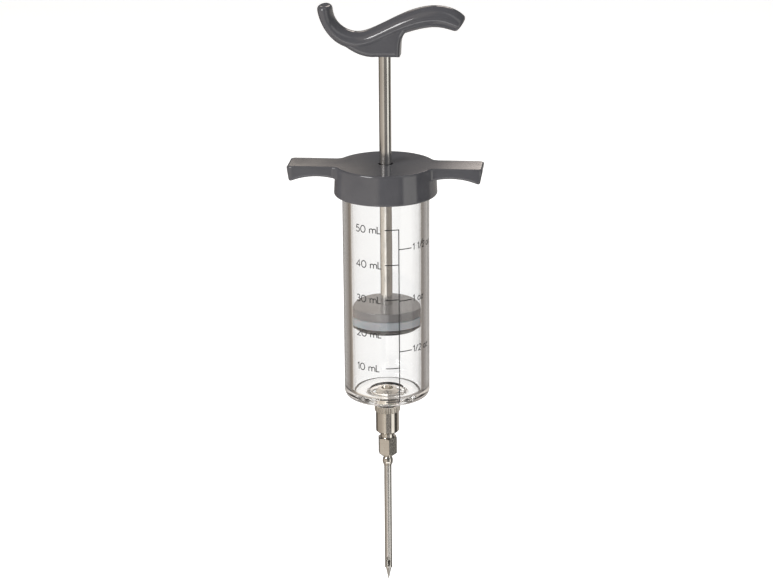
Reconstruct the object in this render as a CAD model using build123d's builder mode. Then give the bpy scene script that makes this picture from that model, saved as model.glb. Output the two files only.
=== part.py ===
from build123d import *
from math import cos, radians, tan
import os

# Meat injector: a clear barrel with a finger-grip cap, a seal-and-plate piston on a steel rod with a
# moulded handle, and a needle screwed to a metal outlet in the barrel's floor.
# Frame: millimetres, +Z up the barrel's axis, +X along the finger grips. The origin is the needle's tip.

# ---- Driving dimensions -------------------------------------------------------------------------
# Needle
point_length = 6.3
point_radius = 1.25
tube_radius = 1.6
tube_bore = 1.1
port_low, port_high, port_width = 7.1, 11.8, 1.75
bead_low, bead_high, bead_radius, bead_end_radius = 55.0, 58.6, 2.25, 1.75
bead_groove_radius = 1.6
hex_low, hex_high, hex_flats, hex_turn = 59.5, 68.0, 7.4, -16.0
hex_foot_radius, hex_foot_chamfer = 2.7, 1.5
hex_top_radius, hex_top_chamfer = 3.6, 0.5
neck_radius = 3.0
washer_thickness = 0.5
spigot_radius = 2.5
spigot_length = 4.0
tube_seat, tube_seat_radius = 4.0, 1.4
point_tip_gap = 0.2

# Adapter between the needle and the outlet
adapter_low, adapter_radius, adapter_chamfer = 70.3, 4.95, 0.8
collar_low, collar_high, collar_radius = 80.0, 83.0, 5.5
collar_chamfer = 0.4
collar_grooves, groove_radius, groove_offset = 34, 0.4, 0.06
gasket_thickness, gasket_radius, gasket_edge_radius = 1.0, 5.2, 0.3

# Barrel
hub_low = collar_high + gasket_thickness
hub_foot_radius, hub_radius, hub_root_radius = 5.7, 7.65, 9.4
hub_foot_high, hub_shoulder = 84.6, 86.3
hub_bulge, hub_flare = (7.1, 85.2), (8.2, 87.5)
barrel_low, chamber_floor, barrel_top = 88.0, 90.5, 185.4
barrel_radius, bore_radius = 18.0, 14.55
barrel_corner, bore_corner = 2.3, 2.0
neck_low, barrel_neck_radius = 176.1, 17.6
recess_radius, recess_floor = 7.4, 88.5
lug_low, lug_high, lug_reach, lug_angle = 181.4, 183.6, 1.0, 24.0

# Outlet fitting
stem_low, stem_radius = 76.6, 3.5
stem_chamfer = 0.4
flange_radius, flange_low, flange_edge, flange_rim = 4.9, 89.0, 89.5, 90.8
outlet_bore, outlet_mouth, rim_width = 1.6, 2.5, 1.05
mouth_depth = 1.5
seal_overhang, seal_round = 0.3, 0.2

# Piston, from its underside up
piston_low, seal_low, seal_high, piston_high = 118.6, 121.0, 124.7, 128.4
plate_radius, seal_radius, core_radius = 14.3, 14.5, 7.0
stud_radius = 2.0
nut_flats, nut_thickness, nut_low = 7.0, 3.2, 119.2
nut_washer_radius, nut_washer_thickness = 4.4, 0.5
nut_pocket_radius = 4.8
plate_edge_radius, seal_edge_radius = 0.3, 0.6
plate_foot_chamfer = 1.6

# Cap with its two finger grips
cap_low, cap_high, cap_wall = 176.2, 188.8, 3.0
cap_rim_radius, cap_draft = 20.75, 2.9
cap_hole_radius = 3.0
grip_reach, grip_foot_reach, grip_half_width = 40.4, 39.2, 7.4
grip_foot, grip_arch, grip_root = 182.2, 184.6, 183.4
grip_arch_reach, grip_root_reach = 28.0, 19.0
grip_corner_radius, grip_root_radius = 2.4, 3.5
cap_edge_radius, cap_foot_edge_radius, grip_foot_edge_radius = 0.8, 0.8, 0.9
cap_turn, slot_clear_angle = 50.0, 2.0

# Rod and handle
rod_radius = 2.5
boss_low, boss_left, boss_right = 234.0, -3.0, 6.4
insert_low, insert_high, insert_radius = 236.2, 243.8, 3.4
insert_groove = 0.5
bar_half_depth, bar_end_depth, bar_end_radius = 6.1, 5.6, 1.5
# The bar's centreline from the left tip to the right end: across, height, half thickness
bar_route = [
    (-24.1, 254.3, 3.0),
    (-23.8, 251.2, 3.0),
    (-22.5, 247.5, 2.9),
    (-19.8, 243.8, 3.1),
    (-12.5, 240.2, 3.5),
    (-3.0, 242.2, 3.6),
    (7.9, 247.2, 3.9),
    (17.0, 249.9, 4.3),
    (24.0, 249.9, 4.3),
    (28.3, 248.5, 4.0),
    (31.0, 246.9, 3.2),
]
web_half_depth, web_edge_radius = 5.4, 2.0
web_route = [(-24.2, 247.6), (-19.8, 241.7), (-14.9, 237.6), (-9.5, 234.8)]
web_throat = [(6.6, 238.0), (7.4, 241.8), (12.0, 246.5)]
web_buried_edge = [(4.0, 245.0), (-4.0, 241.5), (-12.0, 240.2), (-19.5, 244.2)]

# Printed scale
scale_thickness, scale_line = 0.03, 0.4
scale_angle = -68.0
line_angle = 1.3
tick_angle = 17.8
ml_per_tick, ml_ticks = 10, 6
mm_per_ml = 1.5
ml_per_half_ounce, ounce_ticks = 14.79, 3

# Fits, and how far joined shapes run into each other
thread_gap = 0.05
free_gap = 0.2
press_gap = 0.02
seat_gap = 0.1
overlap = 0.2

os.makedirs("parts", exist_ok=True)


def ring_profile(inner, outer, low, high):
    """Draw one rectangle of a turned profile, between two radii and two heights."""
    with Locations(((inner + outer) / 2, (low + high) / 2)):
        Rectangle(outer - inner, high - low)


def save(part, name):
    """Label a finished piece and write it."""
    part.label = name
    export_step(part, f"parts/{name}.step")


# ---- Needle -------------------------------------------------------------------------------------
neck_high = adapter_low - washer_thickness
spigot_high = adapter_low + spigot_length
hex_corner_radius = hex_flats / 2 / cos(radians(30)) + overlap
bead_middle = (bead_low + bead_high) / 2
tube_high = hex_low + tube_seat

# Solid point, with a spigot that is pressed into the tube
with BuildPart() as needle_point:
    with BuildSketch(Plane.XZ):
        with BuildLine():
            Polyline(
                (0, 0),
                (point_radius, point_length),
                (tube_bore, point_length),
                (tube_bore, port_low - point_tip_gap),
                (0, port_low - point_tip_gap),
                close=True,
            )
        make_face()
    revolve(axis=Axis.Z)
save(needle_point.part, "needle_point")

# Steel tube with one long port in its side, just above the point, and a swaged end in the hub
with BuildPart() as needle_tube:
    with BuildSketch(Plane.XZ):
        ring_profile(tube_bore, tube_radius, point_length, bead_low - seat_gap)
        ring_profile(tube_bore, tube_seat_radius, bead_low - 2 * seat_gap, tube_high)
    revolve(axis=Axis.Z)
    with BuildSketch(Plane.XZ):
        with Locations((0, (port_low + port_high) / 2)):
            SlotOverall(port_high - port_low, port_width, rotation=90)
    extrude(amount=tube_radius + 1, mode=Mode.SUBTRACT)
save(needle_tube.part, "needle_tube")

# Turned and milled hub: bead, hexagon, neck and a threaded spigot
with BuildPart() as needle_hub:
    with BuildSketch(Plane.XY.offset(hex_low)):
        RegularPolygon(radius=hex_flats / 2, side_count=6, major_radius=False, rotation=hex_turn)
    extrude(amount=hex_high - hex_low)
    with BuildSketch(Plane.XZ):
        with BuildLine():
            Polyline(
                (0, hex_low),
                (hex_foot_radius, hex_low),
                (hex_corner_radius, hex_low + hex_foot_chamfer),
                (hex_corner_radius, hex_high - hex_top_chamfer),
                (hex_top_radius, hex_high),
                (0, hex_high),
                close=True,
            )
        make_face()
    revolve(axis=Axis.Z, mode=Mode.INTERSECT)
    with BuildSketch(Plane.XZ):
        with BuildLine():
            Line((0, bead_low), (bead_end_radius, bead_low))
            ThreePointArc(
                (bead_end_radius, bead_low),
                (bead_radius, bead_middle),
                (bead_end_radius, bead_high),
            )
            Polyline(
                (bead_end_radius, bead_high),
                (bead_groove_radius, hex_low + overlap),
                (0, hex_low + overlap),
                (0, bead_low),
            )
        make_face()
        ring_profile(0, neck_radius, hex_high - overlap, neck_high)
        ring_profile(0, spigot_radius, neck_high - overlap, spigot_high)
    revolve(axis=Axis.Z)
    with BuildSketch(Plane.XZ):
        ring_profile(0, tube_seat_radius + press_gap, bead_low - 1, tube_high + press_gap)
        ring_profile(0, tube_bore, hex_low, spigot_high + 1)
    revolve(axis=Axis.Z, mode=Mode.SUBTRACT)
save(needle_hub.part, "needle_hub")

# Flat sealing washer on the needle hub's neck
with BuildPart() as needle_washer:
    with BuildSketch(Plane.XZ):
        ring_profile(spigot_radius + thread_gap, neck_radius, neck_high, adapter_low)
    revolve(axis=Axis.Z)
save(needle_washer.part, "needle_washer")

# ---- Adapter: a smooth nut with a knurled collar, bored for the outlet's stem and the needle's spigot
with BuildPart() as needle_adapter:
    with BuildSketch(Plane.XZ):
        with BuildLine():
            Polyline(
                (0, adapter_low),
                (adapter_radius - adapter_chamfer, adapter_low),
                (adapter_radius, adapter_low + adapter_chamfer),
                (adapter_radius, collar_low),
                (collar_radius - collar_chamfer, collar_low),
                (collar_radius, collar_low + collar_chamfer),
                (collar_radius, collar_high - collar_chamfer),
                (collar_radius - collar_chamfer, collar_high),
                (0, collar_high),
                close=True,
            )
        make_face()
    revolve(axis=Axis.Z)
    with BuildSketch(Plane.XY.offset(collar_low)):
        with PolarLocations(collar_radius + groove_offset, collar_grooves):
            Circle(groove_radius)
    extrude(amount=collar_high - collar_low, mode=Mode.SUBTRACT)
    with BuildSketch(Plane.XZ):
        ring_profile(0, stem_radius + thread_gap, stem_low - 3 * free_gap, collar_high + 1)
        ring_profile(0, spigot_radius + thread_gap, adapter_low - 1, spigot_high + 2 * free_gap)
        ring_profile(0, outlet_bore, adapter_low, collar_high)
    revolve(axis=Axis.Z, mode=Mode.SUBTRACT)
save(needle_adapter.part, "needle_adapter")

# Black gasket that the collar clamps against the barrel's hub
with BuildPart() as hub_gasket:
    with BuildSketch(Plane.XZ):
        ring_profile(stem_radius + thread_gap, gasket_radius, collar_high, hub_low)
        fillet(vertices().group_by(Axis.X)[-1], gasket_edge_radius)
    revolve(axis=Axis.Z)
save(hub_gasket.part, "hub_gasket")

# ---- Outlet fitting: flanged, bored and threaded, put in from inside the barrel -------------------
with BuildPart() as outlet_fitting:
    with BuildSketch(Plane.XZ):
        with BuildLine():
            Polyline(
                (outlet_bore, stem_low),
                (stem_radius - stem_chamfer, stem_low),
                (stem_radius, stem_low + stem_chamfer),
                (stem_radius, flange_low),
                (flange_radius, flange_low),
                (flange_radius, flange_edge),
                (outlet_mouth + rim_width, flange_rim),
                (outlet_mouth, flange_rim),
                (outlet_mouth, flange_low),
                (outlet_bore, flange_low - mouth_depth),
                close=True,
            )
        make_face()
    revolve(axis=Axis.Z)
save(outlet_fitting.part, "outlet_fitting")

with BuildPart() as outlet_seal:
    with BuildSketch(Plane.XZ):
        ring_profile(stem_radius + thread_gap, flange_radius + seal_overhang, recess_floor, flange_low)
        fillet(vertices().group_by(Axis.X)[-1], seal_round)
    revolve(axis=Axis.Z)
save(outlet_seal.part, "outlet_seal")

# ---- Barrel: one thick clear wall, with a hub under its floor, and a slightly narrower neck with two
# bayonet lugs inside the cap
with BuildPart() as barrel:
    with BuildSketch(Plane.XZ):
        with BuildLine():
            Line((0, hub_low), (hub_foot_radius, hub_low))
            Line((hub_foot_radius, hub_low), (hub_foot_radius, hub_foot_high))
            ThreePointArc((hub_foot_radius, hub_foot_high), hub_bulge, (hub_radius, hub_shoulder))
            ThreePointArc((hub_radius, hub_shoulder), hub_flare, (hub_root_radius, barrel_low))
            Line((hub_root_radius, barrel_low), (barrel_radius - barrel_corner, barrel_low))
            RadiusArc(
                (barrel_radius - barrel_corner, barrel_low),
                (barrel_radius, barrel_low + barrel_corner),
                -barrel_corner,
            )
            Polyline(
                (barrel_radius, barrel_low + barrel_corner),
                (barrel_radius, neck_low),
                (barrel_neck_radius, neck_low),
                (barrel_neck_radius, barrel_top),
                (0, barrel_top),
                (0, hub_low),
            )
        make_face()
    revolve(axis=Axis.Z)
    with BuildSketch(Plane.XZ):
        with BuildLine():
            Line((0, chamber_floor), (bore_radius - bore_corner, chamber_floor))
            RadiusArc(
                (bore_radius - bore_corner, chamber_floor),
                (bore_radius, chamber_floor + bore_corner),
                -bore_corner,
            )
            Line((bore_radius, chamber_floor + bore_corner), (bore_radius, barrel_top + 1))
            Line((bore_radius, barrel_top + 1), (0, barrel_top + 1))
            Line((0, barrel_top + 1), (0, chamber_floor))
        make_face()
        ring_profile(0, recess_radius, recess_floor, chamber_floor + 1)
        ring_profile(0, stem_radius + thread_gap, hub_low - 1, chamber_floor)
    revolve(axis=Axis.Z, mode=Mode.SUBTRACT)
    for side in (90, 270):
        with BuildSketch(Plane.XZ.rotated((0, 0, side - lug_angle / 2))):
            ring_profile(barrel_neck_radius - overlap, barrel_radius + lug_reach, lug_low, lug_high)
        revolve(axis=Axis.Z, revolution_arc=lug_angle)
save(barrel.part, "barrel")

# Printed scale: an upright line with millilitre ticks on one side and half-ounce ticks on the other.
# Each strip is (lowest height, highest height, first angle, sweep).
print_radius = barrel_radius + scale_thickness
half_line = scale_line / 2
ml_heights = [chamber_floor + tick * ml_per_tick * mm_per_ml for tick in range(ml_ticks)]
ounce_heights = [
    chamber_floor + (tick + 1) * ml_per_half_ounce * mm_per_ml for tick in range(ounce_ticks)
]
strips = [(ml_heights[0] - half_line, ml_heights[-1] + half_line, scale_angle, line_angle)]
strips += [(z - half_line, z + half_line, scale_angle - tick_angle, tick_angle) for z in ml_heights]
strips += [(z - half_line, z + half_line, scale_angle + line_angle, tick_angle) for z in ounce_heights]
with BuildPart() as scale_print:
    for low, high, first_angle, turn in strips:
        with BuildSketch(Plane.XZ.rotated((0, 0, first_angle))):
            ring_profile(barrel_radius, print_radius, low, high)
        revolve(axis=Axis.Z, revolution_arc=turn)
save(scale_print.part, "scale_print")

# ---- Cap: a drafted round lid with two finger grips, all one moulding ------------------------------
# The grips' undersides are arched for the fingers. Inside, two bayonet slots take the barrel's lugs:
# each has an entry that is open below and a channel that runs around to the locked place.
skirt_radius = barrel_neck_radius + free_gap
slot_radius = barrel_radius + lug_reach + free_gap
slot_low, slot_high = lug_low - free_gap, lug_high + free_gap
slot_angle = lug_angle + 2 * slot_clear_angle
draft_slope = tan(radians(cap_draft))
cap_foot_radius = cap_rim_radius + (cap_high - cap_low) * draft_slope
with BuildPart() as cap:
    with BuildSketch(Plane.XY.offset(cap_high)):
        Rectangle(2 * grip_reach, 2 * grip_half_width)
        fillet(vertices(), grip_corner_radius)
        Circle(cap_rim_radius)
        roots = vertices().filter_by(lambda corner: abs(corner.X) < cap_rim_radius)
        fillet(roots, grip_root_radius)
    extrude(amount=cap_low - cap_high, taper=-cap_draft)
    fillet(faces().sort_by(Axis.Z)[-1].edges(), cap_edge_radius)
    with BuildSketch(Plane.XZ):
        with BuildLine():
            Line((0, cap_high), (grip_reach, cap_high))
            Line((grip_reach, cap_high), (grip_foot_reach, grip_foot))
            ThreePointArc(
                (grip_foot_reach, grip_foot),
                (grip_arch_reach, grip_arch),
                (grip_root_reach, grip_root),
            )
            Line((grip_root_reach, grip_root), (0, grip_root))
            Line((0, grip_root), (0, cap_high))
        make_face()
        mirror(about=Plane.YZ)
    extrude(amount=cap_foot_radius, both=True, mode=Mode.INTERSECT)
    fillet(edges().filter_by(lambda edge: edge.center().Z < grip_arch + 1), grip_foot_edge_radius)
    with BuildSketch(Plane.XZ):
        with BuildLine():
            lid_top = cap_high - cap_edge_radius
            lid_radius = cap_rim_radius + cap_edge_radius * draft_slope
            Polyline(
                (0, cap_low),
                (cap_foot_radius, cap_low),
                (lid_radius, lid_top),
                (0, lid_top),
                close=True,
            )
        make_face()
    revolve(axis=Axis.Z)
    fillet(edges().group_by(Axis.Z)[0], cap_foot_edge_radius)
    with BuildSketch(Plane.XZ):
        ring_profile(0, skirt_radius, cap_low - 1, cap_high - cap_wall)
        ring_profile(0, cap_hole_radius, cap_low, cap_high + 1)
    revolve(axis=Axis.Z, mode=Mode.SUBTRACT)
    for side in (90, 270):
        channel_start = side - slot_angle / 2 - cap_turn
        with BuildSketch(Plane.XZ.rotated((0, 0, channel_start))):
            ring_profile(skirt_radius - overlap, slot_radius, slot_low, slot_high)
        revolve(axis=Axis.Z, revolution_arc=slot_angle + cap_turn, mode=Mode.SUBTRACT)
        with BuildSketch(Plane.XZ.rotated((0, 0, channel_start))):
            ring_profile(skirt_radius - overlap, slot_radius, cap_low - 1, slot_high)
        revolve(axis=Axis.Z, revolution_arc=slot_angle, mode=Mode.SUBTRACT)
save(cap.part, "cap")

# ---- Piston: two plates clamp a silicone ring; a washer and nut under them hold the rod's stud ------
with BuildPart() as piston_top_plate:
    with BuildSketch(Plane.XZ):
        ring_profile(stud_radius + thread_gap, plate_radius, seal_high, piston_high)
        fillet(vertices().group_by(Axis.X)[-1], plate_edge_radius)
    revolve(axis=Axis.Z)
save(piston_top_plate.part, "piston_top_plate")

with BuildPart() as piston_seal:
    with BuildSketch(Plane.XZ):
        ring_profile(core_radius + thread_gap, seal_radius, seal_low, seal_high)
        fillet(vertices().group_by(Axis.X)[-1], seal_edge_radius)
    revolve(axis=Axis.Z)
save(piston_seal.part, "piston_seal")

nut_high = nut_low + nut_thickness
with BuildPart() as piston_bottom_plate:
    with BuildSketch(Plane.XZ):
        ring_profile(stud_radius + thread_gap, plate_radius, piston_low, seal_low)
        rim = vertices().group_by(Axis.X)[-1].sort_by(Axis.Y)
        chamfer(rim[0], plate_foot_chamfer)
        fillet(rim[-1], plate_edge_radius)
        ring_profile(stud_radius + thread_gap, core_radius, seal_low - overlap, seal_high)
    revolve(axis=Axis.Z)
    with BuildSketch(Plane.XZ):
        ring_profile(0, nut_pocket_radius, piston_low - 1, nut_high + nut_washer_thickness)
    revolve(axis=Axis.Z, mode=Mode.SUBTRACT)
save(piston_bottom_plate.part, "piston_bottom_plate")

with BuildPart() as piston_washer:
    with BuildSketch(Plane.XZ):
        ring_profile(stud_radius + thread_gap, nut_washer_radius, nut_high, nut_high + nut_washer_thickness)
    revolve(axis=Axis.Z)
save(piston_washer.part, "piston_washer")

with BuildPart() as piston_nut:
    with BuildSketch(Plane.XY.offset(nut_low)):
        RegularPolygon(radius=nut_flats / 2, side_count=6, major_radius=False)
        Circle(stud_radius + thread_gap, mode=Mode.SUBTRACT)
    extrude(amount=nut_thickness)
save(piston_nut.part, "piston_nut")

# ---- Rod: polished steel with a threaded stud at each end ------------------------------------------
with BuildPart() as plunger_rod:
    with BuildSketch(Plane.XZ):
        ring_profile(0, stud_radius, nut_low, insert_high - 1)
        ring_profile(0, rod_radius, piston_high, insert_low)
    revolve(axis=Axis.Z)
save(plunger_rod.part, "plunger_rod")

# Threaded brass insert moulded into the handle's boss
with BuildPart() as handle_insert:
    with BuildSketch(Plane.XZ):
        ring_profile(stud_radius + thread_gap, insert_radius, insert_low, insert_high)
        with Locations((insert_radius, (insert_low + insert_high) / 2)):
            Rectangle(2 * insert_groove, 2 * insert_groove, mode=Mode.SUBTRACT)
    revolve(axis=Axis.Z)
save(handle_insert.part, "handle_insert")

# ---- Handle: an oval wavy bar over a flat-sided web that runs down into the rod's boss --------------
with BuildPart() as handle_bar:
    with BuildLine(Plane.XZ) as centreline:
        Spline(*[(across, height) for across, height, half_thickness in bar_route])
    for across, height, half_thickness in bar_route:
        spot = Vector(across, 0, height)
        along = centreline.edges()[0].tangent_at(spot)
        is_end = (across, height, half_thickness) in (bar_route[0], bar_route[-1])
        with BuildSketch(Plane(origin=spot, x_dir=(0, 1, 0), z_dir=along)):
            Ellipse(bar_end_depth if is_end else bar_half_depth, half_thickness)
    loft()
    fillet(faces().filter_by(GeomType.PLANE).edges(), bar_end_radius)

with BuildPart() as handle_web:
    with BuildSketch(Plane.XZ):
        with BuildLine():
            under = Spline(*web_route, (boss_left, boss_low))
            Polyline(under @ 1, (boss_right, boss_low), web_throat[0])
            Spline(*web_throat)
            Polyline(web_throat[-1], *web_buried_edge, under @ 0)
        make_face()
    extrude(amount=web_half_depth, both=True)
    outline = edges().filter_by(lambda edge: abs(edge.center().Y) > web_half_depth - 0.01)
    lower = outline.filter_by(lambda edge: edge.center().Z < web_throat[-1][1] - 3)
    right = lower.filter_by(lambda edge: edge.center().X > boss_right - 1)
    left = lower.filter_by(lambda edge: edge.center().Z < web_route[1][1] - 1)
    fillet(set(left + right), web_edge_radius)

with BuildPart() as handle:
    add(handle_bar.part)
    add(handle_web.part)
    with BuildSketch(Plane.XZ):
        ring_profile(0, rod_radius + thread_gap, boss_low - 1, insert_low)
        ring_profile(0, insert_radius + thread_gap, insert_low - thread_gap, insert_high + thread_gap)
    revolve(axis=Axis.Z, mode=Mode.SUBTRACT)
save(handle.part, "handle")
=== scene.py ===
from math import cos, pi, radians, sin

import bmesh
import bpy
from mathutils import Matrix, Vector


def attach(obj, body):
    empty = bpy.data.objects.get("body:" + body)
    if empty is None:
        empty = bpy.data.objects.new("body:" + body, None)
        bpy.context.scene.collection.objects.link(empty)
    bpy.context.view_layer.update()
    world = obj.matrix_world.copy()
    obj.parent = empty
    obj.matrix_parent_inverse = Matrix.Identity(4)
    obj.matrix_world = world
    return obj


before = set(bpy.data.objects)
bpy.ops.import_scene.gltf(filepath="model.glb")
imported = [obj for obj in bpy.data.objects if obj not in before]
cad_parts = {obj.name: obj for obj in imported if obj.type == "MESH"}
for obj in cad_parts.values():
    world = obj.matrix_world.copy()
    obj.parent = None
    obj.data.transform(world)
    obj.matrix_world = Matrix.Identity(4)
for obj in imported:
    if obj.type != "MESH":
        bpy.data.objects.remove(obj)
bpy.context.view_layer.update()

MM = 0.001

# ---- Camera -------------------------------------------------------------------------------------
CAMERA_TURN = radians(6.0)  # from -Y towards +X
CAMERA_DISTANCE = 0.8428
CAMERA_HEIGHT = 0.4160
CAMERA_PITCH = radians(18.5)
CAMERA_ROLL = radians(-0.45)
CAMERA_LENS = 98.8
CAMERA_NEAR = 10 * MM
TOWARDS_CAMERA = (sin(CAMERA_TURN), -cos(CAMERA_TURN), 0.0)
CAMERA_RIGHT = (cos(CAMERA_TURN), sin(CAMERA_TURN), 0.0)


def set_camera():
    """Stand the camera where it sees the injector slightly from above and from its right."""
    data = bpy.data.cameras.new("camera")
    data.lens = CAMERA_LENS
    data.clip_start = CAMERA_NEAR
    camera = bpy.data.objects.new("camera", data)
    bpy.context.scene.collection.objects.link(camera)
    place = Vector(TOWARDS_CAMERA) * CAMERA_DISTANCE + Vector((0, 0, CAMERA_HEIGHT))
    look = -Vector(TOWARDS_CAMERA) * cos(CAMERA_PITCH) - Vector((0, 0, sin(CAMERA_PITCH)))
    turn = look.to_track_quat("-Z", "Y").to_matrix().to_4x4()
    roll = Matrix.Rotation(CAMERA_ROLL, 4, "Z")
    camera.matrix_world = Matrix.Translation(place) @ turn @ roll
    bpy.context.scene.camera = camera


# ---- Node helpers -------------------------------------------------------------------------------
# Sockets of Blender's Mix node when it mixes colours
MIX_FACTOR, MIX_FIRST, MIX_SECOND, MIX_RESULT = 0, 6, 7, 2


def link_math(tree, operation, first, second=0.0, third=0.0):
    """Add one Math node; each input is a number or another node's output."""
    node = tree.nodes.new("ShaderNodeMath")
    node.operation = operation
    for socket, value in zip(node.inputs, (first, second, third)):
        if isinstance(value, bpy.types.NodeSocket):
            tree.links.new(value, socket)
        else:
            socket.default_value = value
    return node.outputs[0]


def link_range(tree, value, low, high, start=0.0, end=1.0):
    """Bring a value from start..end to low..high."""
    node = tree.nodes.new("ShaderNodeMapRange")
    tree.links.new(value, node.inputs["Value"])
    node.inputs["From Min"].default_value = start
    node.inputs["From Max"].default_value = end
    node.inputs["To Min"].default_value = low
    node.inputs["To Max"].default_value = high
    return node.outputs["Result"]


def link_between(tree, value, low, high, edge):
    """1 where value lies between low and high, falling to 0 across a soft edge."""
    over = link_range(tree, value, 0.0, 1.0, low - edge, low + edge)
    under = link_range(tree, value, 1.0, 0.0, high - edge, high + edge)
    return link_math(tree, "MULTIPLY", over, under)


def link_ramp(tree, value, stops):
    """Add a colour ramp; stops are (place, colour)."""
    node = tree.nodes.new("ShaderNodeValToRGB")
    elements = node.color_ramp.elements
    while len(elements) < len(stops):
        elements.new(0.5)
    for element, (place, colour) in zip(elements, stops):
        element.position = place
        element.color = (*colour, 1.0)
    tree.links.new(value, node.inputs["Fac"])
    return node.outputs["Color"]


def link_mix(tree, factor, first, second):
    """Mix two colours, each one a colour or another node's output."""
    node = tree.nodes.new("ShaderNodeMix")
    node.data_type = "RGBA"
    tree.links.new(factor, node.inputs[MIX_FACTOR])
    for index, value in ((MIX_FIRST, first), (MIX_SECOND, second)):
        if isinstance(value, bpy.types.NodeSocket):
            tree.links.new(value, node.inputs[index])
        else:
            node.inputs[index].default_value = (*value, 1.0)
    return node.outputs[MIX_RESULT]


def link_noise(tree, scale, detail=3.0, stretch=(1, 1, 1)):
    """Noise over the object's own coordinates, in features per metre, stretched along the axes."""
    place = tree.nodes.new("ShaderNodeTexCoord")
    mapping = tree.nodes.new("ShaderNodeMapping")
    mapping.inputs["Scale"].default_value = stretch
    noise = tree.nodes.new("ShaderNodeTexNoise")
    noise.inputs["Scale"].default_value = scale
    noise.inputs["Detail"].default_value = detail
    tree.links.new(place.outputs["Object"], mapping.inputs["Vector"])
    tree.links.new(mapping.outputs["Vector"], noise.inputs["Vector"])
    return noise.outputs["Fac"]


def link_radius(tree):
    """Distance from the injector's axis, in metres."""
    place = tree.nodes.new("ShaderNodeTexCoord")
    parts = tree.nodes.new("ShaderNodeSeparateXYZ")
    tree.links.new(place.outputs["Object"], parts.inputs[0])
    square = link_math(tree, "MULTIPLY", parts.outputs["X"], parts.outputs["X"])
    square = link_math(tree, "MULTIPLY_ADD", parts.outputs["Y"], parts.outputs["Y"], square)
    return link_math(tree, "SQRT", square)


def new_material(name):
    """A material with a Principled shader; returns the material, its tree and the shader."""
    material = bpy.data.materials.new(name)
    material.use_nodes = True
    tree = material.node_tree
    return material, tree, tree.nodes["Principled BSDF"]


def finish_surface(tree, shader, roughness, height, depth):
    """Drive a shader's roughness, and give it a bump of that height map and depth."""
    tree.links.new(roughness, shader.inputs["Roughness"])
    bump = tree.nodes.new("ShaderNodeBump")
    bump.inputs["Distance"].default_value = depth
    tree.links.new(height, bump.inputs["Height"])
    tree.links.new(bump.outputs["Normal"], shader.inputs["Normal"])


# ---- Materials ----------------------------------------------------------------------------------
PLASTIC_IOR, SILICONE_IOR = 1.5, 1.41
PLASTIC_SPECULAR = 0.7

# Sizes of the surface marks, in features per metre
MOTTLE, SMUDGES, PEEL = 120, 90, 1300
TOOL_LINES, TARNISH = 1000, 160
HAZE, SCUFFS = 70, 900
PATCHES = 700
CLOUD, GRAIN = 240, 2600

# Depths of the surface marks
PEEL_DEPTH, POLISHED_PEEL_DEPTH = 0.006 * MM, 0.0015 * MM
SCUFF_DEPTH, INK_DEPTH, GRAIN_DEPTH = 0.006 * MM, 0.01 * MM, 0.02 * MM
NICKEL_DEPTH, STEEL_DEPTH, BRASS_DEPTH = 0.012 * MM, 0.01 * MM, 0.02 * MM

# Ways that marks run: round the axis, along it, or a little longer along it
ROUND_NICKEL, ROUND_BRASS, ALONG_STEEL = (0.12, 0.12, 6.0), (0.2, 0.2, 5.0), (5.0, 5.0, 0.05)
ALONG_SMUDGES, ALONG_HAZE, ALONG_SCUFFS = (1, 1, 0.6), (1, 1, 0.4), (1, 1, 0.08)

# The barrel's outer wall, and the painted shade bands on it from face on to edge on, in place of the
# room's light and dark that the wall bends and reflects
OUTER_WALL = 17.0 * MM
WALL_CLEAR = (0.995, 0.995, 0.99)
WALL_PAINTED_BANDS = [
    (0.00, (1.00, 1.00, 1.00)),
    (0.36, (1.00, 1.00, 1.00)),
    (0.39, (0.72, 0.71, 0.71)),
    (0.43, (0.97, 0.96, 0.96)),
    (0.50, (0.82, 0.80, 0.79)),
    (0.56, (0.94, 0.92, 0.91)),
    (0.64, (0.74, 0.71, 0.69)),
    (0.72, (0.84, 0.82, 0.81)),
    (0.84, (0.99, 0.99, 0.98)),
]


def moulded_plastic(name, dark, light, rough, peel_depth=PEEL_DEPTH):
    """Glossy moulded plastic: faint flow mottling, handling smudges and a slight orange peel."""
    material, tree, shader = new_material(name)
    mottle = link_noise(tree, MOTTLE, 5)
    tree.links.new(link_mix(tree, mottle, dark, light), shader.inputs["Base Color"])
    smudges = link_noise(tree, SMUDGES, 5, ALONG_SMUDGES)
    roughness = link_range(tree, smudges, rough, rough + 0.05, 0.35, 0.7)
    finish_surface(tree, shader, roughness, link_noise(tree, PEEL, 2), peel_depth)
    shader.inputs["IOR"].default_value = PLASTIC_IOR
    shader.inputs["Specular IOR Level"].default_value = PLASTIC_SPECULAR
    return material


def worked_metal(name, dark, light, rough, stretch, line_depth):
    """Metal with fine machining lines and a cloudy tarnish; stretch sets which way the lines run."""
    material, tree, shader = new_material(name)
    shader.inputs["Metallic"].default_value = 1.0
    lines = link_noise(tree, TOOL_LINES, 3, stretch)
    tarnish = link_noise(tree, TARNISH, 4)
    tint = link_mix(tree, link_range(tree, tarnish, 0.0, 0.35, 0.35, 0.75), light, dark)
    tree.links.new(tint, shader.inputs["Base Color"])
    wear = link_math(tree, "MULTIPLY_ADD", tarnish, 0.4, lines)
    roughness = link_range(tree, wear, rough * 0.7, rough * 1.4, 0.4, 1.0)
    finish_surface(tree, shader, roughness, lines, line_depth)
    return material


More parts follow.
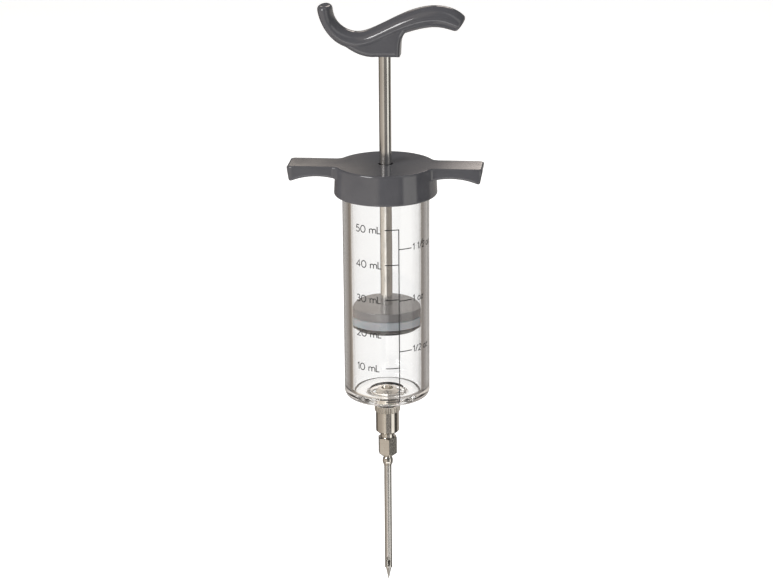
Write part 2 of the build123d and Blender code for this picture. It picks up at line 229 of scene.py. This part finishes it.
def clear_plastic(name):
    """Thick clear moulding. Its outer wall carries painted shade: darker bands towards its edges stand
    in for the light and dark it bends and reflects from the room.
    """
    material, tree, shader = new_material(name)
    shader.inputs["Transmission Weight"].default_value = 1.0
    shader.inputs["IOR"].default_value = PLASTIC_IOR
    facing = tree.nodes.new("ShaderNodeLayerWeight")
    # painted shade: a colour ramp by facing darkens the outer wall in bands towards its edges, in place
    # of refracted and reflected light
    tint = link_ramp(tree, facing.outputs["Facing"], WALL_PAINTED_BANDS)
    outer = link_math(tree, "GREATER_THAN", link_radius(tree), OUTER_WALL)
    tree.links.new(link_mix(tree, outer, WALL_CLEAR, tint), shader.inputs["Base Color"])
    haze = link_noise(tree, HAZE, 4, ALONG_HAZE)
    scuffs = link_noise(tree, SCUFFS, 2, ALONG_SCUFFS)
    finish_surface(tree, shader, link_range(tree, haze, 0.0, 0.03, 0.45, 0.75), scuffs, SCUFF_DEPTH)
    let_light_in(tree, shader)
    return material


def let_light_in(tree, shader):
    """Let the lamps and the bounced light pass straight through a clear shader."""
    path = tree.nodes.new("ShaderNodeLightPath")
    through = tree.nodes.new("ShaderNodeBsdfTransparent")
    mix = tree.nodes.new("ShaderNodeMixShader")
    shadow, diffuse = path.outputs["Is Shadow Ray"], path.outputs["Is Diffuse Ray"]
    tree.links.new(link_math(tree, "MAXIMUM", shadow, diffuse), mix.inputs[0])
    tree.links.new(shader.outputs[0], mix.inputs[1])
    tree.links.new(through.outputs[0], mix.inputs[2])
    tree.links.new(mix.outputs[0], tree.nodes["Material Output"].inputs["Surface"])


def ink(name, dark, light):
    """Screen-printed ink, a little uneven."""
    material, tree, shader = new_material(name)
    patches = link_noise(tree, PATCHES, 3)
    tree.links.new(link_mix(tree, patches, dark, light), shader.inputs["Base Color"])
    finish_surface(tree, shader, link_range(tree, patches, 0.35, 0.6), patches, INK_DEPTH)
    return material


def soft_seal(name, dark, light, rough, glow=0.0):
    """Rubber or silicone: matt, slightly uneven, with light scattered inside it where glow is set."""
    material, tree, shader = new_material(name)
    cloud = link_noise(tree, CLOUD, 4)
    tree.links.new(link_mix(tree, cloud, dark, light), shader.inputs["Base Color"])
    roughness = link_range(tree, cloud, rough, rough + 0.15)
    finish_surface(tree, shader, roughness, link_noise(tree, GRAIN, 2), GRAIN_DEPTH)
    shader.inputs["Subsurface Weight"].default_value = glow
    shader.inputs["Subsurface Scale"].default_value = 1 * MM
    shader.inputs["IOR"].default_value = SILICONE_IOR
    return material


# The look of each material slot: darker and lighter colour, roughness, and how its marks run
LOOKS = {
    "dark_plastic": moulded_plastic(
        "dark_plastic_look", (0.064, 0.064, 0.072), (0.086, 0.086, 0.094), 0.09
    ),
    "grey_plastic": moulded_plastic(
        "grey_plastic_look", (0.095, 0.094, 0.098), (0.130, 0.126, 0.128), 0.16
    ),
    "nickel_plate": worked_metal(
        "nickel_plate_look", (0.42, 0.38, 0.33), (0.74, 0.71, 0.66), 0.13, ROUND_NICKEL, NICKEL_DEPTH
    ),
    "stainless_steel": worked_metal(
        "stainless_steel_look", (0.50, 0.48, 0.45), (0.70, 0.69, 0.67), 0.17, ALONG_STEEL, STEEL_DEPTH
    ),
    "brass": worked_metal(
        "brass_look", (0.45, 0.30, 0.12), (0.72, 0.52, 0.22), 0.25, ROUND_BRASS, BRASS_DEPTH
    ),
    "black_rubber": soft_seal("black_rubber_look", (0.012, 0.012, 0.013), (0.03, 0.03, 0.03), 0.45),
    "white_seal": soft_seal("white_seal_look", (0.62, 0.61, 0.58), (0.74, 0.73, 0.70), 0.40, 0.1),
    "silicone": soft_seal("silicone_look", (0.20, 0.215, 0.232), (0.26, 0.275, 0.295), 0.35, 0.3),
    "clear_plastic": clear_plastic("clear_plastic_look"),
    "black_print": ink("black_print_look", (0.006, 0.006, 0.007), (0.03, 0.03, 0.032)),
}
# Nodes whose finish differs from the rest of their slot
NODE_LOOKS = {
    "cap": moulded_plastic(
        "cap_look", (0.064, 0.064, 0.072), (0.092, 0.092, 0.100), 0.04, POLISHED_PEEL_DEPTH
    ),
    "piston_bottom_plate": moulded_plastic(
        "lower_plate_look", (0.022, 0.021, 0.020), (0.034, 0.033, 0.032), 0.3
    ),
    "outlet_seal": soft_seal("outlet_seal_look", (0.40, 0.40, 0.40), (0.52, 0.52, 0.51), 0.4, 0.2),
}


def paint_nodes():
    """Give every CAD node its own look, or else the look of its material slot."""
    for name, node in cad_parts.items():
        for index, material in enumerate(node.data.materials):
            slot = material.name.split(".")[0]
            node.data.materials[index] = NODE_LOOKS.get(name, LOOKS[slot])


# ---- Printed numbers ----------------------------------------------------------------------------
def arc(centre_x, centre_y, radius_x, radius_y, start, end, steps=14):
    """Points along part of an oval, from one angle to another in degrees."""
    angles = [radians(start + (end - start) * step / steps) for step in range(steps + 1)]
    return [(centre_x + radius_x * cos(a), centre_y + radius_y * sin(a)) for a in angles]


# A plain stroke alphabet: each character is its width and its strokes, on a capital one unit high
STROKES = {
    "0": (0.74, [arc(0.37, 0.5, 0.37, 0.5, 0, 360, 28)]),
    "1": (0.30, [[(0.0, 0.80), (0.24, 1.0), (0.24, 0.0)]]),
    "2": (0.62, [arc(0.31, 0.70, 0.29, 0.30, 165, -38) + [(0.0, 0.0), (0.62, 0.0)]]),
    "3": (0.60, [arc(0.29, 0.75, 0.25, 0.25, 150, -90) + arc(0.29, 0.26, 0.31, 0.26, 85, -155)]),
    "4": (0.70, [[(0.52, 0.0), (0.52, 1.0), (0.0, 0.28), (0.70, 0.28)]]),
    "5": (0.62, [[(0.56, 1.0), (0.16, 1.0), (0.09, 0.56)] + arc(0.29, 0.31, 0.32, 0.31, 120, -150)]),
    "m": (
        0.92,
        [
            [(0.0, 0.0), (0.0, 0.64)],
            arc(0.23, 0.41, 0.23, 0.23, 180, 0) + [(0.46, 0.0)],
            arc(0.69, 0.41, 0.23, 0.23, 180, 0) + [(0.92, 0.0)],
        ],
    ),
    "L": (0.46, [[(0.0, 1.0), (0.0, 0.0), (0.46, 0.0)]]),
    "o": (0.64, [arc(0.32, 0.32, 0.32, 0.32, 0, 360, 24)]),
    "z": (0.48, [[(0.0, 0.62), (0.46, 0.62), (0.0, 0.0), (0.48, 0.0)]]),
    "/": (0.42, [[(0.0, -0.04), (0.42, 1.04)]]),
    " ": (0.28, []),
}
LETTER_GAP = 0.20
SAME_POINT = 1e-6
MITRE_LIMIT = 0.45

PRINT_LINE = 0.40 * MM
PRINT_RADIUS = 18.02 * MM
PRINT_THICKNESS = 0.02 * MM

# The scale: its zero at the bore's floor, its steps, and where each column of labels begins
SCALE_ZERO = 90.5 * MM
ML_STEP, ML_HEIGHT, ML_COLUMN = 15.0 * MM, 2.9 * MM, radians(-126.6)
ML_TENS = range(1, 6)
OUNCE_STEP, OUNCE_HEIGHT, OUNCE_COLUMN = 22.185 * MM, 2.6 * MM, radians(-46.5)
OUNCE_LABELS = ["1/2 oz", "1 oz", "1 1/2 oz"]
OUNCE_DROP = 0.4  # how far a label's foot is below its tick, as a share of its height


def stroke_sides(points, half):
    """The two side lines of a stroke of that half width, mitred at its corners."""
    closed = (Vector(points[0]) - Vector(points[-1])).length < SAME_POINT
    spots = [Vector(p) for p in (points[:-1] if closed else points)]
    count = len(spots)
    left, right = [], []
    for i, spot in enumerate(spots):
        before = spots[i - 1] if closed or i > 0 else None
        after = spots[(i + 1) % count] if closed or i < count - 1 else None
        came = (spot - before).normalized() if before is not None else (after - spot).normalized()
        goes = (after - spot).normalized() if after is not None else came
        along = (came + goes).normalized()
        side = Vector((-along.y, along.x))
        reach = half / max(MITRE_LIMIT, side.dot(Vector((-came.y, came.x))))
        left.append(spot + side * reach)
        right.append(spot - side * reach)
    return left, right, closed


def print_label(mesh, text, first_angle, baseline, height):
    """Lay a line of text on the barrel's outer wall, starting at an angle and a height."""
    pen = 0.0
    for character in text:
        width, strokes = STROKES[character]
        for points in strokes:
            placed = [((pen + x) * height, y * height) for x, y in points]
            left, right, closed = stroke_sides(placed, PRINT_LINE / 2)
            rows = []
            for line in (left, right):
                row = []
                for spot in line:
                    angle = first_angle + spot.x / PRINT_RADIUS
                    across, out = PRINT_RADIUS * cos(angle), PRINT_RADIUS * sin(angle)
                    row.append(mesh.verts.new((across, out, baseline + spot.y)))
                rows.append(row)
            count = len(rows[0])
            for i in range(count if closed else count - 1):
                j = (i + 1) % count
                mesh.faces.new((rows[1][i], rows[1][j], rows[0][j], rows[0][i]))
        pen += width + LETTER_GAP


def make_scale_numbers():
    """The printed numbers and unit marks beside the scale's ticks."""
    mesh = bmesh.new()
    for tens in ML_TENS:
        base = SCALE_ZERO + tens * ML_STEP - ML_HEIGHT / 2
        print_label(mesh, f"{tens}0 mL", ML_COLUMN, base, ML_HEIGHT)
    for halves, text in enumerate(OUNCE_LABELS, start=1):
        base = SCALE_ZERO + halves * OUNCE_STEP - OUNCE_HEIGHT * OUNCE_DROP
        print_label(mesh, text, OUNCE_COLUMN, base, OUNCE_HEIGHT)
    bmesh.ops.recalc_face_normals(mesh, faces=mesh.faces)
    data = bpy.data.meshes.new("scale_numbers")
    mesh.to_mesh(data)
    mesh.free()
    numbers = bpy.data.objects.new("scale_numbers", data)
    bpy.context.scene.collection.objects.link(numbers)
    data.materials.append(LOOKS["black_print"])
    solid = numbers.modifiers.new("thickness", "SOLIDIFY")
    solid.thickness = PRINT_THICKNESS
    solid.offset = 0.0
    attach(numbers, "barrel")


# ---- Studio -------------------------------------------------------------------------------------
# Bands of the room by azimuth, from straight behind the injector round by its left, front and
# right. The low bands are below the horizon and the high bands above it.
LOW_BANDS = [
    (0.000, (0.34, 0.33, 0.32)),
    (0.045, (0.20, 0.19, 0.18)),
    (0.080, (0.10, 0.08, 0.07)),
    (0.160, (0.08, 0.07, 0.06)),
    (0.185, (0.40, 0.35, 0.30)),
    (0.330, (0.54, 0.48, 0.42)),
    (0.440, (0.84, 0.77, 0.68)),
    (0.470, (0.20, 0.19, 0.18)),
    (0.570, (0.26, 0.24, 0.23)),
    (0.600, (0.02, 0.02, 0.02)),
    (0.618, (1.25, 1.22, 1.15)),
    (0.693, (1.20, 1.17, 1.10)),
    (0.710, (0.04, 0.04, 0.04)),
    (0.810, (0.10, 0.09, 0.08)),
    (0.835, (0.52, 0.49, 0.45)),
    (0.940, (0.42, 0.40, 0.38)),
]
HIGH_BANDS = [
    (0.00, (0.09, 0.09, 0.09)),
    (0.17, (0.10, 0.09, 0.08)),
    (0.24, (0.45, 0.40, 0.35)),
    (0.42, (0.60, 0.54, 0.48)),
    (0.48, (0.16, 0.16, 0.16)),
    (0.60, (0.16, 0.16, 0.16)),
    (0.63, (0.90, 0.89, 0.86)),
    (0.71, (0.90, 0.89, 0.86)),
    (0.74, (0.09, 0.09, 0.09)),
]
# What a reflection sees through the clear barrel: the same room, filled by the light it gathers.
INNER_LOW_BANDS = [
    (0.000, (0.70, 0.68, 0.66)),
    (0.130, (0.18, 0.15, 0.12)),
    (0.190, (0.70, 0.62, 0.53)),
    (0.400, (1.05, 0.97, 0.87)),
    (0.440, (1.60, 1.55, 1.48)),
    (0.500, (1.50, 1.45, 1.40)),
    (0.520, (0.26, 0.23, 0.20)),
    (0.560, (0.34, 0.31, 0.28)),
    (0.760, (0.42, 0.38, 0.34)),
    (0.850, (0.30, 0.27, 0.24)),
    (0.900, (0.22, 0.20, 0.19)),
    (0.960, (0.62, 0.60, 0.58)),
]
INNER_HIGH_BANDS = [
    (0.00, (1.10, 1.02, 0.94)),
    (0.14, (0.80, 0.74, 0.68)),
    (0.30, (0.60, 0.56, 0.52)),
    (0.70, (0.60, 0.57, 0.54)),
    (0.90, (0.90, 0.85, 0.80)),
]
# Two long panels stand high behind the injector, one on each side of the rod.
PANEL_BANDS = [
    (0.0000, (0.06, 0.06, 0.06)),
    (0.0030, (0.40, 0.36, 0.33)),
    (0.0060, (1.70, 1.50, 1.30)),
    (0.0300, (1.70, 1.50, 1.30)),
    (0.0400, (0.09, 0.09, 0.09)),
    (0.9600, (0.09, 0.09, 0.09)),
    (0.9700, (3.20, 2.85, 2.60)),
    (0.9935, (3.20, 2.85, 2.60)),
    (0.9965, (0.06, 0.06, 0.06)),
]
# A bright strip lies low in front of the injector.
STRIP_BANDS = [
    (0.36, (0.30, 0.28, 0.26)),
    (0.42, (2.60, 2.55, 2.50)),
    (0.58, (2.60, 2.55, 2.50)),
    (0.66, (0.30, 0.28, 0.26)),
]
# Heights in the room, as the sine of the elevation
HORIZON_LOW, HORIZON_HIGH = -0.05, 0.15
PANEL_LOW, PANEL_HIGH, PANEL_EDGE = sin(radians(15.12)), sin(radians(24.5)), 0.001
STRIP_LOW, STRIP_HIGH, STRIP_EDGE = sin(radians(-38.0)), sin(radians(-28.5)), 0.02
WHITE = (1.0, 1.0, 1.0)

# Soft lights: turn from the camera's side towards its right, elevation, distance, size and watts
LIGHTS_AIM = Vector((0, 0, 0.17))
KEY_LIGHT = (radians(-48), radians(32), 1.2, 0.5, 9.0)
TOP_LIGHT = (radians(150), radians(75), 1.1, 0.9, 8.0)

FLOOR_HALF = 6.0
FLOOR_HEIGHT = -12 * MM  # below the needle's point when adapter and needle are unscrewed
FLOOR_DARK, FLOOR_LIGHT = (0.80, 0.80, 0.80), (0.82, 0.82, 0.82)
FLOOR_ROUGHNESS, FLOOR_GLOW = 0.9, 0.65
FLOOR_GRAIN = 3  # features per metre


def link_directions(tree):
    """The azimuth of a world direction, 0..1 from straight behind, and the sine of its elevation."""
    place = tree.nodes.new("ShaderNodeTexCoord").outputs["Generated"]
    sides = []
    for direction in (CAMERA_RIGHT, TOWARDS_CAMERA):
        dot = tree.nodes.new("ShaderNodeVectorMath")
        dot.operation = "DOT_PRODUCT"
        dot.inputs[1].default_value = direction
        tree.links.new(place, dot.inputs[0])
        sides.append(dot.outputs["Value"])
    parts = tree.nodes.new("ShaderNodeSeparateXYZ")
    tree.links.new(place, parts.inputs[0])
    turn = link_range(tree, link_math(tree, "ARCTAN2", *sides), 0.0, 1.0, -pi, pi)
    return turn, parts.outputs["Z"]


def link_sight(tree):
    """Whether the room is seen through the barrel, and whether it is seen without a reflection."""
    path = tree.nodes.new("ShaderNodeLightPath")
    passed = link_math(tree, "GREATER_THAN", path.outputs["Transmission Depth"], 0.5)
    unreflected = link_math(tree, "LESS_THAN", path.outputs["Glossy Depth"], 0.5)
    straight = link_math(tree, "MULTIPLY", passed, unreflected)
    straight = link_math(tree, "MAXIMUM", straight, path.outputs["Is Camera Ray"])
    lit = link_math(tree, "SUBTRACT", 1.0, path.outputs["Is Diffuse Ray"])
    return passed, link_math(tree, "MULTIPLY", straight, lit)


def light_room():
    """A studio around the injector: white to look at, with bands that show in its gloss."""
    world = bpy.data.worlds.new("studio")
    world.use_nodes = True
    bpy.context.scene.world = world
    tree = world.node_tree
    turn, rise = link_directions(tree)
    above = link_range(tree, rise, 0.0, 1.0, HORIZON_LOW, HORIZON_HIGH)
    on_panel = link_between(tree, rise, PANEL_LOW, PANEL_HIGH, PANEL_EDGE)
    on_strip = link_between(tree, rise, STRIP_LOW, STRIP_HIGH, STRIP_EDGE)
    low, high, panels, strip, inner_low, inner_high = (
        link_ramp(tree, turn, bands)
        for bands in (LOW_BANDS, HIGH_BANDS, PANEL_BANDS, STRIP_BANDS, INNER_LOW_BANDS, INNER_HIGH_BANDS)
    )
    lower = link_mix(tree, on_strip, low, strip)
    upper = link_mix(tree, on_panel, high, panels)
    outer = link_mix(tree, above, lower, upper)
    inner = link_mix(tree, above, inner_low, inner_high)
    passed, straight = link_sight(tree)
    room = link_mix(tree, passed, outer, inner)
    tree.links.new(link_mix(tree, straight, room, WHITE), tree.nodes["Background"].inputs["Color"])


def add_soft_light(name, turn, elevation, distance, size, power):
    """A square soft light aimed at the cap; turn is from the camera's side towards its right."""
    data = bpy.data.lights.new(name, "AREA")
    data.size = size
    data.energy = power
    light = bpy.data.objects.new(name, data)
    bpy.context.scene.collection.objects.link(light)
    flat = Vector(TOWARDS_CAMERA) * cos(turn) + Vector(CAMERA_RIGHT) * sin(turn)
    spot = LIGHTS_AIM + (flat * cos(elevation) + Vector((0, 0, sin(elevation)))) * distance
    aim = (LIGHTS_AIM - spot).to_track_quat("-Z", "Y").to_matrix().to_4x4()
    light.matrix_world = Matrix.Translation(spot) @ aim
    return light


def make_floor():
    """A plain pale floor that catches soft shade and isn't mirrored in the metal."""
    data = bpy.data.meshes.new("floor")
    corners = [(x * FLOOR_HALF, y * FLOOR_HALF, 0) for x, y in ((-1, -1), (1, -1), (1, 1), (-1, 1))]
    data.from_pydata(corners, [], [range(len(corners))])
    floor = bpy.data.objects.new("floor", data)
    bpy.context.scene.collection.objects.link(floor)
    floor.location.z = FLOOR_HEIGHT
    material, tree, shader = new_material("floor_look")
    grain = link_noise(tree, FLOOR_GRAIN, 2)
    tree.links.new(link_mix(tree, grain, FLOOR_DARK, FLOOR_LIGHT), shader.inputs["Base Color"])
    shader.inputs["Roughness"].default_value = FLOOR_ROUGHNESS
    shader.inputs["Emission Color"].default_value = (*WHITE, 1.0)
    shader.inputs["Emission Strength"].default_value = FLOOR_GLOW
    data.materials.append(material)
    floor.visible_glossy = False
    floor.visible_transmission = False


bpy.context.scene.view_settings.view_transform = "Standard"
set_camera()
light_room()
add_soft_light("key", *KEY_LIGHT)
add_soft_light("top", *TOP_LIGHT).visible_glossy = False
make_floor()
paint_nodes()
make_scale_numbers()
